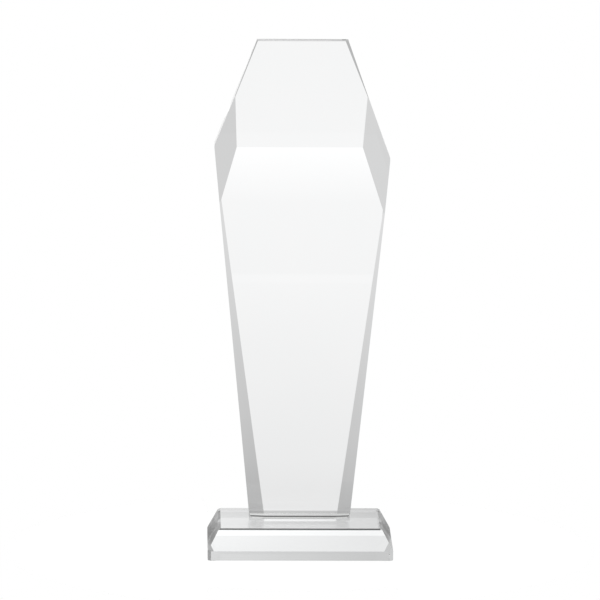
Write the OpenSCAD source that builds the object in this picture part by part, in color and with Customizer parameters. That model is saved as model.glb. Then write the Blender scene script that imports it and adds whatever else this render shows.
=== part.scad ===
// Free-standing crystal award: a tapering faceted tower bonded upright on a bevelled base block.
// Millimetres. The origin is the middle of the base's underside, +Z is up and the front faces -Y.
// Left is -X and right is +X. The tower is cut by hand, so its two shoulders are not quite level.

/* [Overall] */
// Height of the whole award, from the underside of the base to the flat top of the tower
award_h = 250.3; // [246.3:1:262.3]
// Thickness of the clear adhesive layer between the tower's foot and the base
bond_t = 0.4; // [0.1:0.05:0.6]
// How far the adhesive stops short of the edge of the tower's foot
bond_gap = 1.2; // [1.1:0.1:3]
// Leg of the small polished arris around the tower's back face and along its flat top
arris = 0.5; // [0.3:0.05:0.6]
// Leg of the wider arris around the tower's foot
foot_arris = 0.9; // [0.3:0.1:1]
// Leg of the arris around the top of the base
top_arris = 0.8; // [0.3:0.05:1]
// Leg of the fine arris around the base's underside
under_arris = 0.25; // [0.1:0.05:0.5]
// Leg of the arris down the four upright corners of the base
corner_arris = 1.6; // [0.3:0.1:2]

/* [Base] */
// Width of the base, left to right
base_w = 90.6; // [86:0.1:110]
// Depth of the base, front to back
base_d = 62.2; // [60:0.1:80]
// Height of the upright band at the front and the two sides of the base
band_h = 4.7; // [3:0.1:8]
// Height of the upright band at the back, which is cut a little lower
band_back_h = 3.3; // [2:0.1:8]
// Height of the bevels above the front and side bands
bevel_h = 10.5; // [6:0.1:16]
// How far the left and right bevels lean in over that height
bevel_in_side = 5.6; // [2:0.1:8]
// How far the front and back bevels lean in over that height
bevel_in_face = 4; // [2:0.1:5]

/* [Tower blank] */
// Thickness of the crystal plate that the tower is cut from
tower_t = 20; // [18:0.5:22]
// Distance from the middle of the base to the tower's front face
tower_set_back = -0.2; // [-5:0.1:2.6]
// Width of the tower at its foot
foot_w = 49.4; // [46:0.2:52]
// How far the shoulders and the top are off to the right of the middle of the foot
sway = 0.6; // [-1:0.1:1]
// Width of the tower across its shoulders
shoulder_w = 86; // [84:0.1:88]
// Height of the left shoulder above the foot
shoulder_left_z = 182.8; // [180:0.2:186]
// Height of the right shoulder above the foot
shoulder_right_z = 176.8; // [174:0.1:180]
// Height of the small upright flat that blunts each shoulder's tip
shoulder_flat = 1.6; // [0.4:0.1:3]
// Width of the flat top
top_w = 44.8; // [42:0.1:48]

/* [Tower facets] */
// Height of the main front face, where the sloping upper facet starts
face_h = 183.9; // [182:0.1:187]
// Thickness left at the flat top, behind the sloping facet
top_t = 6; // [4:0.5:9]
// Upper left corner of the main front face: distance from the middle
face_left = 31.6; // [30:0.1:33]
// Upper right corner of the main front face: distance from the middle
face_right = 30; // [28:0.1:32]
// Height at which the two corner facets end on the roof edges
corner_top_z = 208.6; // [205:0.1:212]
// Height of the left corner facet's lower tip
cheek_left_z = 158.2; // [154:0.2:162]
// Height of the right corner facet's lower tip
cheek_right_z = 152.6; // [149:0.1:156]
// Lower left corner of the main front face: distance from the middle
face_foot_left = 17.3; // [15:0.1:20]
// Lower right corner of the main front face: distance from the middle
face_foot_right = 18.1; // [15:0.1:20]
// Depth of the two long side bevels where they meet the foot
side_bevel_d = 1.6; // [1:0.1:5]
// Left roof arris: its width on the sloping facet at the flat top
roof_arris_left = 0.6; // [0.3:0.1:1.5]
// Right roof arris: its width on the sloping facet at the flat top
roof_arris_right = 1.5; // [0.3:0.1:1.8]
// Width of both roof arrises at their lower end
roof_arris_end = 0.3; // [0.1:0.05:0.4]

/* [Hidden] */

CLEAR_CRYSTAL = [0.90, 0.94, 0.95, 0.45];
CLEAR_BASE = [0.84, 0.90, 0.92, 0.55];
CLEAR_ADHESIVE = [0.95, 0.93, 0.80, 0.6];

base_h = band_h + bevel_h;
tower_h = award_h - base_h - bond_t;
cutter = 2 * award_h;

// Where the left and right sides of the tower meet the foot, the shoulders and the flat top
foot_x = [-foot_w / 2, foot_w / 2];
shoulder_x = [sway - shoulder_w / 2, sway + shoulder_w / 2];
shoulder_z = [shoulder_left_z, shoulder_right_z];
top_x = [sway - top_w / 2, sway + top_w / 2];
face_x = [-face_left, face_right];
face_foot_x = [-face_foot_left, face_foot_right];
cheek_z = [cheek_left_z, cheek_right_z];
roof_arris = [roof_arris_left, roof_arris_right];

// Plan of the tower's foot, anticlockwise from the left end of the main front face
foot_ring = [
    [face_foot_x[0], 0],
    [face_foot_x[1], 0],
    [foot_x[1], side_bevel_d],
    [foot_x[1], tower_t],
    [foot_x[0], tower_t],
    [foot_x[0], side_bevel_d],
];

// Front view of the tower blank, anticlockwise from the left end of the foot
outline = [
    [foot_x[0], 0],
    [foot_x[1], 0],
    [shoulder_x[1], shoulder_z[1] - shoulder_flat / 2],
    [shoulder_x[1], shoulder_z[1] + shoulder_flat / 2],
    [top_x[1], tower_h],
    [top_x[0], tower_h],
    [shoulder_x[0], shoulder_z[0] + shoulder_flat / 2],
    [shoulder_x[0], shoulder_z[0] - shoulder_flat / 2],
];

function unit(v) = v / norm(v);
function mix(a, b, t) = a + (b - a) * t;

// Outward normal of the edge that leaves corner i of an anticlockwise ring
function edge_normal(ring, i) =
    let (step = ring[(i + 1) % len(ring)] - ring[i]) unit([step.y, -step.x]);

// The ring moved inwards by d, with its sides kept parallel
function inset_ring(ring, d) = [
    for (i = [0 : len(ring) - 1])
        let (
            before = edge_normal(ring, (i + len(ring) - 1) % len(ring)),
            after = edge_normal(ring, i)
        )
        ring[i] - d * (before + after) / (1 + before * after)
];

// Depth of the sloping upper facet behind the front face, at height z
function slope_y(z) = (tower_t - top_t) * (z - face_h) / (tower_h - face_h);

// Distance of the roof edge from the middle at height z, on side s
function roof_x(s, z) =
    let (low = shoulder_z[s] + shoulder_flat / 2)
    mix(shoulder_x[s], top_x[s], (z - low) / (tower_h - low));

// Edge between the main front face and the long side bevel, at height z, on side s
function face_edge_x(s, z) = mix(face_foot_x[s], shoulder_x[s], z / shoulder_z[s]);

// Three points that fix the corner facet on side s
function corner_facet(s) = [
    [face_x[s], 0, face_h],
    [face_edge_x(s, cheek_z[s]), 0, cheek_z[s]],
    [roof_x(s, corner_top_z), slope_y(corner_top_z), corner_top_z],
];

// Three points that fix the long side bevel on side s
function side_bevel(s) = [
    [face_foot_x[s], 0, 0],
    [shoulder_x[s], 0, shoulder_z[s]],
    [foot_x[s], side_bevel_d, 0],
];

// Three points that fix the tapering arris between the sloping facet and the roof edge on side s
function roof_arris_facet(s) =
    let (inward = s == 0 ? 1 : -1)
    [
        [top_x[s] + inward * roof_arris[s], slope_y(tower_h), tower_h],
        [roof_x(s, corner_top_z) + inward * roof_arris_end, slope_y(corner_top_z), corner_top_z],
        [top_x[s], slope_y(tower_h) + roof_arris[s], tower_h],
    ];

// A block that takes away everything beyond the plane through p with the normal n
module beyond(p, n) {
    u = unit(n);
    translate(p)
        rotate([0, acos(u.z), atan2(u.y, u.x)])
            translate([-cutter / 2, -cutter / 2, 0])
                cube(cutter);
}

// The same, for the plane through three points, taking away the side that faces the front
module in_front_of(points) {
    n = cross(points[1] - points[0], points[2] - points[0]);
    beyond(points[0], n.y < 0 ? n : -n);
}

// The small arrises around the back face, along every edge of the outline but the foot
module back_arrises() {
    for (i = [1 : len(outline) - 1]) {
        n = edge_normal(outline, i);
        beyond([outline[i].x - n.x * arris, tower_t, outline[i].y - n.y * arris], [n.x, 1, n.y]);
    }
}

// The small arrises around the tower's foot
module foot_arrises() {
    for (i = [0 : len(foot_ring) - 1]) {
        n = edge_normal(foot_ring, i);
        beyond([foot_ring[i].x - n.x * foot_arris, foot_ring[i].y - n.y * foot_arris, 0], [n.x, n.y, -1]);
    }
}

// Right-hand half of a profile of the base: half width w, an upright band and a bevel that leans in by lean
function half_profile(w, lean, band) =
    let (down = unit([lean, band - base_h]))
    [
        [w - under_arris, 0],
        [w, under_arris],
        [w, band],
        [w - lean, base_h] + top_arris * down,
        [w - lean - top_arris, base_h],
    ];

// A whole profile, with an upright band of one height on the left and of another on the right
module base_profile(w, lean, left_band, right_band) {
    right = half_profile(w, lean, right_band);
    left = half_profile(w, lean, left_band);
    polygon(concat(right, [for (i = [len(left) - 1 : -1 : 0]) [-left[i].x, left[i].y]]));
}

module crystal_base() {
    color(CLEAR_BASE)
        difference() {
            intersection() {
                translate([0, base_d / 2, 0])
                    rotate([90, 0, 0])
                        linear_extrude(base_d)
                            base_profile(base_w / 2, bevel_in_side, band_h, band_h);
                translate([-base_w / 2, 0, 0])
                    rotate([90, 0, 90])
                        linear_extrude(base_w)
                            base_profile(base_d / 2, bevel_in_face, band_h, band_back_h);
            }
            for (x = [-1, 1], y = [-1, 1])
                beyond([x * (base_w / 2 - corner_arris), y * base_d / 2, 0], [x, y, 0]);
        }
}

module adhesive_film() {
    color(CLEAR_ADHESIVE)
        translate([0, tower_set_back, base_h])
            linear_extrude(bond_t)
                polygon(inset_ring(foot_ring, bond_gap));
}

module crystal_tower() {
    color(CLEAR_CRYSTAL)
        translate([0, tower_set_back, base_h + bond_t])
            difference() {
                translate([0, tower_t, 0])
                    rotate([90, 0, 0])
                        linear_extrude(tower_t)
                            polygon(outline);
                in_front_of([
                    [face_x[0], 0, face_h],
                    [face_x[1], 0, face_h],
                    [0, slope_y(tower_h), tower_h],
                ]);
                for (s = [0, 1]) {
                    in_front_of(corner_facet(s));
                    in_front_of(side_bevel(s));
                    in_front_of(roof_arris_facet(s));
                }
                beyond([0, slope_y(tower_h), tower_h - arris / 2], [0, -1, 1]);
                back_arrises();
                foot_arrises();
            }
}

crystal_base();
adhesive_film();
crystal_tower();
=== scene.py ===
"""Looks of the crystal award: clear polished crystal on a pale studio table, seen through a long lens."""

import math

import bpy
from mathutils import Matrix, Vector


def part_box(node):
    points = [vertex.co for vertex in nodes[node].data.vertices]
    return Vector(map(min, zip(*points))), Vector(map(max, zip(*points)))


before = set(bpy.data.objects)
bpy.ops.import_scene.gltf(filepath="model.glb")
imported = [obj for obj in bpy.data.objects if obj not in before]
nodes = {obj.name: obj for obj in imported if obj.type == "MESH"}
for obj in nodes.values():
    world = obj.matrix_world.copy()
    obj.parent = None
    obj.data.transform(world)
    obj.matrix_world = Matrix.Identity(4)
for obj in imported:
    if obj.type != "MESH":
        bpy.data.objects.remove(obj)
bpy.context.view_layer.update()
tower, base, film = nodes["crystal_tower"], nodes["crystal_base"], nodes["adhesive_film"]

CRYSTAL_IOR = 1.517
ADHESIVE_IOR = 1.50
TOWER_TINT = ((0.985, 0.99, 0.992, 1), (0.995, 0.997, 0.998, 1))
BASE_TINT = ((0.975, 0.985, 0.988, 1), (0.985, 0.992, 0.995, 1))
ADHESIVE_TINT = ((0.97, 0.97, 0.94, 1), (0.93, 0.93, 0.9, 1))
WHITE = (1, 1, 1, 1)
SKIRT_WHITE = (1.05, 1.05, 1.05, 1)
PAPER_TINT = ((0.09, 0.09, 0.09, 1), (0.11, 0.11, 0.11, 1))
PAPER_WHITE = (0.98, 0.98, 0.98, 1)

# Metres: how near the bond's level a point counts as on it, and how near corners count as one
BOND_REACH = 0.00003
HAIR = 0.00001

FLOOR_RADIUS = 0.2
FLOOR_DROP = 0.0003


# ---------------------------------------------------------------- node helpers

class Nodes:
    """A short way to write a node tree: every call adds nodes and returns the output that is wanted."""

    def __init__(self, tree):
        self.tree = tree
        tree.nodes.clear()

    def add(self, kind, **settings):
        node = self.tree.nodes.new(kind)
        for name, value in settings.items():
            setattr(node, name, value)
        return node

    def feed(self, socket, value):
        if isinstance(value, bpy.types.NodeSocket):
            self.tree.links.new(value, socket)
        else:
            socket.default_value = value

    def math(self, operation, a, b=0.0):
        node = self.add("ShaderNodeMath", operation=operation)
        self.feed(node.inputs[0], a)
        self.feed(node.inputs[1], b)
        return node.outputs[0]

    def product(self, first, *others):
        for other in others:
            first = self.math("MULTIPLY", first, other)
        return first

    def less(self, value):
        """What is left of 1 when value is taken away."""
        return self.math("SUBTRACT", 1.0, value)

    def parts(self, vector):
        node = self.add("ShaderNodeSeparateXYZ")
        self.feed(node.inputs[0], vector)
        return node.outputs

    def dot(self, a, b):
        node = self.add("ShaderNodeVectorMath", operation="DOT_PRODUCT")
        self.feed(node.inputs[0], a)
        self.feed(node.inputs[1], b)
        return node.outputs["Value"]

    def length(self, vector):
        node = self.add("ShaderNodeVectorMath", operation="LENGTH")
        self.feed(node.inputs[0], vector)
        return node.outputs["Value"]

    def noise(self, where, scale, detail=2.0, rough=0.5, stretch=(1, 1, 1)):
        mapping = self.add("ShaderNodeMapping")
        self.feed(mapping.inputs["Vector"], where)
        mapping.inputs["Scale"].default_value = stretch
        node = self.add("ShaderNodeTexNoise")
        self.feed(node.inputs["Vector"], mapping.outputs[0])
        node.inputs["Scale"].default_value = scale
        node.inputs["Detail"].default_value = detail
        node.inputs["Roughness"].default_value = rough
        return node.outputs[0]

    def ramp(self, value, low, high, to_low=0.0, to_high=1.0, kind="LINEAR"):
        node = self.add("ShaderNodeMapRange", interpolation_type=kind)
        self.feed(node.inputs["Value"], value)
        for name, number in (("From Min", low), ("From Max", high), ("To Min", to_low), ("To Max", to_high)):
            self.feed(node.inputs[name], number)
        return node.outputs[0]

    def ease(self, value, low, high, to_low=0.0, to_high=1.0):
        return self.ramp(value, low, high, to_low, to_high, "SMOOTHSTEP")

    def curve(self, value, points):
        """A grey curve drawn with straight lines through (value, height) points, level beyond its ends."""
        height = points[0][1]
        for (low, from_height), (high, to_height) in zip(points, points[1:]):
            height = self.math("ADD", height, self.ramp(value, low, high, 0.0, to_height - from_height))
        return height

    def mix(self, factor, a, b):
        node = self.add("ShaderNodeMix", data_type="RGBA")
        self.feed(node.inputs[0], factor)
        self.feed(node.inputs[6], a)
        self.feed(node.inputs[7], b)
        return node.outputs[2]

    def clear_glass(self, ior):
        glass = self.add("ShaderNodeBsdfPrincipled")
        glass.inputs["Transmission Weight"].default_value = 1.0
        glass.inputs["IOR"].default_value = ior
        return glass

    def finish(self, shader, kind="ShaderNodeOutputMaterial"):
        out = self.add(kind)
        self.feed(out.inputs["Surface"], shader.outputs[0])


def new_material(name):
    material = bpy.data.materials.new(name)
    material.use_nodes = True
    return material, Nodes(material.node_tree)


# ---------------------------------------------------------------- materials

def bond_patch(n, where):
    """1 inside the outline of the adhesive film and 0 outside it, from the film's own corners."""
    top = max(v.co.z for v in film.data.vertices)
    corners = {(round(v.co.x, 5), round(v.co.y, 5)) for v in film.data.vertices if v.co.z > top - HAIR}
    middle = Vector((sum(c[0] for c in corners), sum(c[1] for c in corners))) / len(corners)
    ring = sorted(corners, key=lambda c: math.atan2(c[1] - middle.y, c[0] - middle.x))
    inside = 1.0
    for a, b in zip(ring, ring[1:] + ring[:1]):
        out = Vector((b[1] - a[1], a[0] - b[0])).normalized()
        reach = out.x * a[0] + out.y * a[1]
        within = n.math("LESS_THAN", n.dot(where, (out.x, out.y, 0.0)), reach)
        inside = n.product(within, inside)
    return inside


def crystal(name, tint, bonded_z):
    """Clear optical crystal with hand-polished facets, optically joined to the adhesive at bonded_z."""
    material, n = new_material(name)
    where = n.add("ShaderNodeTexCoord").outputs["Object"]
    glass = n.clear_glass(CRYSTAL_IOR)
    cloud = n.noise(where, 26.0, detail=3.0)
    n.feed(glass.inputs["Base Color"], n.mix(n.ramp(cloud, 0.35, 0.65), *tint))
    wipes = n.noise(where, 60.0, detail=4.0, rough=0.6, stretch=(1.0, 1.0, 0.25))
    n.feed(glass.inputs["Roughness"], n.ramp(wipes, 0.45, 0.8, 0.0, 0.015))
    bump = n.add("ShaderNodeBump")
    bump.inputs["Strength"].default_value = 0.02
    bump.inputs["Distance"].default_value = 0.0002
    n.feed(bump.inputs["Height"], n.noise(where, 18.0, detail=1.0))
    n.feed(glass.inputs["Normal"], bump.outputs[0])
    on_level = n.math("COMPARE", n.parts(where)["Z"], bonded_z)
    on_level.node.inputs[2].default_value = BOND_REACH
    n.feed(glass.inputs["Alpha"], n.less(n.product(bond_patch(n, where), on_level)))
    n.finish(glass)
    return material


def adhesive():
    """Cured clear adhesive: only its thin outer rim is a free surface."""
    material, n = new_material("clear_adhesive")
    where = n.add("ShaderNodeTexCoord").outputs["Object"]
    glass = n.clear_glass(ADHESIVE_IOR)
    n.feed(glass.inputs["Base Color"], n.mix(n.noise(where, 90.0), *ADHESIVE_TINT))
    n.feed(glass.inputs["Roughness"], n.ramp(n.noise(where, 300.0, detail=3.0), 0.3, 0.7, 0.02, 0.12))
    facing = n.parts(n.add("ShaderNodeNewGeometry").outputs["Normal"])
    flat = n.math("GREATER_THAN", n.math("ABSOLUTE", facing["Z"]), 0.5)
    n.feed(glass.inputs["Alpha"], n.less(flat))
    n.finish(glass)
    return material


def give(piece, material):
    piece.data.materials.clear()
    piece.data.materials.append(material)


film_low, film_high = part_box("adhesive_film")
give(tower, crystal("tower_crystal", TOWER_TINT, film_high.z))
give(base, crystal("base_crystal", BASE_TINT, film_low.z))
give(film, adhesive())


# ---------------------------------------------------------------- stage

def millimetres(points):
    """(millimetres, brightness) points as (metres, brightness)."""
    return [(place / 1000, bright) for place, bright in points]


def sines(points):
    """(degrees above the horizon, brightness) points as (sine, brightness)."""
    return [(math.sin(math.radians(angle)), bright) for angle, bright in points]


def seen_directly(n):
    """1 for what the camera sees past the award, 0 for what is seen in the crystal or lights it."""
    return n.add("ShaderNodeLightPath").outputs["Is Camera Ray"]


def painted_table_light_and_shade(n, x, y, outside):
    """Brightness of the table top as the crystal shows it: painted light and shade, which the table top
    glows with. outside is 1 beyond the sides of the base.
    """
    # Painted light and shade under the award: duller toward its right, and brighter again behind it
    under = n.product(n.curve(x, millimetres([(-35, 0.73), (35, 0.55)])),
                      n.curve(y, millimetres([(16, 1.0), (30, 0.85), (50, 1.0), (65, 1.05), (100, 1.2)])))
    # A painted bar of light that the tower throws on the table, with a painted dull stripe behind it
    bar = n.curve(y, millimetres([(-16, 1.0), (-10, 1.25), (-4, 1.3), (1, 1.0), (4, 1.0), (8, 1.5),
                                  (11, 1.5), (12.5, 0.4), (17, 0.4), (18, 1.0)]))
    under = n.product(under, n.ramp(n.math("ABSOLUTE", x), 0.017, 0.019, bar, 1.0))
    # Painted light in front of the award, bright on its left
    before = n.ease(y, -0.026, -0.018, 1.0, 0.0)
    under = n.mix(before, under, n.curve(x, millimetres([(-30, 1.15), (35, 0.35)])))
    # Painted shade to either side of it, where the base shades the table
    beside = n.curve(y, millimetres([(10, 0.62), (34, 0.58), (45, 0.36), (60, 0.27), (85, 0.28),
                                     (110, 0.40)]))
    return n.mix(n.product(outside, n.less(before)), under, beside)


def floor():
    """A white table top just below the base. In the crystal it glows with painted light and shade, the greys
    around the award.
    """
    bpy.ops.mesh.primitive_circle_add(vertices=96, radius=FLOOR_RADIUS, fill_type="TRIFAN",
                                      location=(0, 0, -FLOOR_DROP))
    disc = bpy.context.object
    disc.name = "floor"
    material, n = new_material("floor_paper")
    where = n.add("ShaderNodeTexCoord").outputs["Object"]
    x, y, _ = n.parts(where)
    outside = n.ease(n.math("ABSOLUTE", x), 0.044, 0.049)
    painted_table_glow = painted_table_light_and_shade(n, x, y, outside)

    paper = n.add("ShaderNodeBsdfPrincipled")
    paper.inputs["Roughness"].default_value = 0.9
    paper.inputs["Specular IOR Level"].default_value = 0.1
    n.feed(paper.inputs["Base Color"], n.mix(n.noise(where, 40.0), *PAPER_TINT))
    # Seen directly it glows an even white; in the crystal it glows with the painted light and shade
    n.feed(paper.inputs["Emission Color"], n.mix(seen_directly(n), painted_table_glow, PAPER_WHITE))
    paper.inputs["Emission Strength"].default_value = 1.0
    # It fades out behind and in front of the award, and further out to its sides
    rim = n.math("SUBTRACT", n.length(where), n.product(outside, 0.04))
    n.feed(paper.inputs["Alpha"], n.ease(rim, 0.098, 0.106, 1.0, 0.0))
    n.finish(paper)
    disc.data.materials.append(material)


def straight_on(n, ahead, full, none):
    """1 within full degrees to either side of straight ahead or behind, falling to 0 at none degrees."""
    return n.ease(ahead, math.cos(math.radians(none)), math.cos(math.radians(full)))


def wall_tones(n, x, z, ahead, across, rear, above):
    """Brightness of the walls beside the panel, by height."""
    walls = n.curve(z, sines([(-30, 0.45), (-24, 0.50), (-16.5, 0.68), (-13, 0.71), (-10.4, 0.44),
                              (-9.9, 0.46), (-9.6, 0.53), (-9.25, 0.58), (-8.9, 0.61), (-8.1, 0.70),
                              (-7.5, 0.745), (-5.5, 0.57), (0, 0.62), (8, 0.62), (11, 0.95),
                              (14.5, 0.95), (17, 0.20), (22, 0.20), (24.5, 0.50), (32, 0.60),
                              (45, 0.45), (57, 0.32), (70, 0.35)]))
    # Duller toward the right, above the horizon most of all
    shade = n.product(above, n.ramp(x, -0.4, 0.4, 0.0, 0.3))
    right = n.product(n.ramp(x, -0.3, 0.3, 1.0, 0.96), n.less(shade))
    # Dark at the far left and right, from the horizon to about 45 degrees up
    flank = n.product(n.ease(ahead, 0.35, 0.75, 0.8, 0.0), n.ease(z, 0.0, 0.1),
                      n.ease(z, 0.6, 0.8, 1.0, 0.0))
    # A dimmer upright strip on each of the walls behind the award, which starts lower on the right
    span = n.math("ABSOLUTE", across)
    start = n.math("MAXIMUM", n.ramp(across, -0.1, 0.1), n.ramp(z, 0.05, 0.15))
    depth = n.curve(z, sines([(-4, 0), (-1, 0.28), (14, 0.35), (18, 0)]))
    strip = n.product(n.ease(span, 0.36, 0.42), n.ease(span, 0.52, 0.59, 1.0, 0.0), rear, depth, start)
    return n.product(walls, right, n.less(flank), n.less(strip))


def panel_tones(n, z, across, rear, above):
    """Brightness of the tall panel straight behind the award, by height, and of the one in front of it."""
    bands = n.curve(z, sines([(-45, 0.62), (-33, 0.66), (-24, 0.75), (-18, 0.95), (-15, 0.965),
                              (-12, 0.87), (-11.3, 0.83), (-10.75, 0.83), (-10.5, 0.86), (-9.07, 0.943),
                              (-9.05, 0.955), (-9, 0.955), (-8.98, 0.937), (-8.4, 0.955), (-7.95, 1.04),
                              (-7, 1.05), (-2, 1.0), (0, 0.70), (3, 0.66), (7, 0.60), (9, 0.88),
                              (12, 0.985), (15, 0.95), (17.5, 0.14), (19, 0.14), (21, 1.14),
                              (22.6, 1.14), (23.2, 0.66), (28, 0.45), (30, 0.15), (34, 0.12),
                              (35.5, 1.1), (39, 1.1), (45, 0.50), (60, 0.45), (80, 0.50)]))
    # Duller toward its right-hand edge, above the horizon
    fall = n.product(rear, above, n.ramp(across, 0.002, 0.028, 0.0, 0.12))
    return n.product(bands, n.less(fall), n.ramp(rear, 0.0, 1.0, 0.75, 1.0))


def studio_world():
    """White past the award. In the crystal, a tall banded panel behind it and greyer walls beside it."""
    world = bpy.data.worlds.new("studio")
    bpy.context.scene.world = world
    world.use_nodes = True
    n = Nodes(world.node_tree)
    x, y, z = n.parts(n.add("ShaderNodeTexCoord").outputs["Generated"])
    level = n.math("SQRT", n.math("ADD", n.product(x, x), n.product(y, y)))
    level = n.math("MAXIMUM", level, 0.001)
    ahead = n.math("DIVIDE", n.math("ABSOLUTE", y), level)
    across = n.math("DIVIDE", x, level)
    rear = n.math("GREATER_THAN", y, 0.0)
    above = n.ease(z, -0.05, 0.0)
    walls = wall_tones(n, x, z, ahead, across, rear, above)
    bands = panel_tones(n, z, across, rear, above)
    tones = n.mix(straight_on(n, ahead, 3.4, 5.6), walls, bands)
    # A white skirting, wider than the panel, a little below the horizon
    skirt = n.curve(z, sines([(-6.4, 0), (-5.9, 1), (-4.2, 1), (-3.5, 0)]))
    tones = n.mix(n.product(straight_on(n, ahead, 6.8, 8.2), skirt, rear), tones, SKIRT_WHITE)

    background = n.add("ShaderNodeBackground")
    n.feed(background.inputs["Color"], n.mix(seen_directly(n), tones, WHITE))
    n.finish(background, "ShaderNodeOutputWorld")


floor()
studio_world()


# ---------------------------------------------------------------- camera

def camera():
    """A long lens a little above the award, almost square to its front."""
    elevation, turn, roll = math.radians(9.2), math.radians(-0.99), math.radians(0.29)
    distance, focus_height, sideways = 3.448, 0.1224, -0.00033
    level_back = Vector((math.sin(turn), -math.cos(turn), 0.0))
    back = level_back * math.cos(elevation) + Vector((0.0, 0.0, math.sin(elevation)))
    right = Vector((math.cos(turn), math.sin(turn), 0.0))
    up = back.cross(right)
    data = bpy.data.cameras.new("camera")
    data.sensor_width = 36.0
    data.lens = 420.0
    data.clip_end = 50.0
    eye = bpy.data.objects.new("camera", data)
    bpy.context.scene.collection.objects.link(eye)
    eye.location = up * focus_height + back * distance + right * sideways
    level_view = Matrix((right, up, back)).transposed()
    eye.rotation_euler = (level_view @ Matrix.Rotation(roll, 3, "Z")).to_euler()
    bpy.context.scene.camera = eye


camera()
scene = bpy.context.scene
scene.view_settings.view_transform = "Standard"
scene.cycles.max_bounces = 24
scene.cycles.transmission_bounces = 24
scene.cycles.glossy_bounces = 16
scene.cycles.transparent_max_bounces = 32
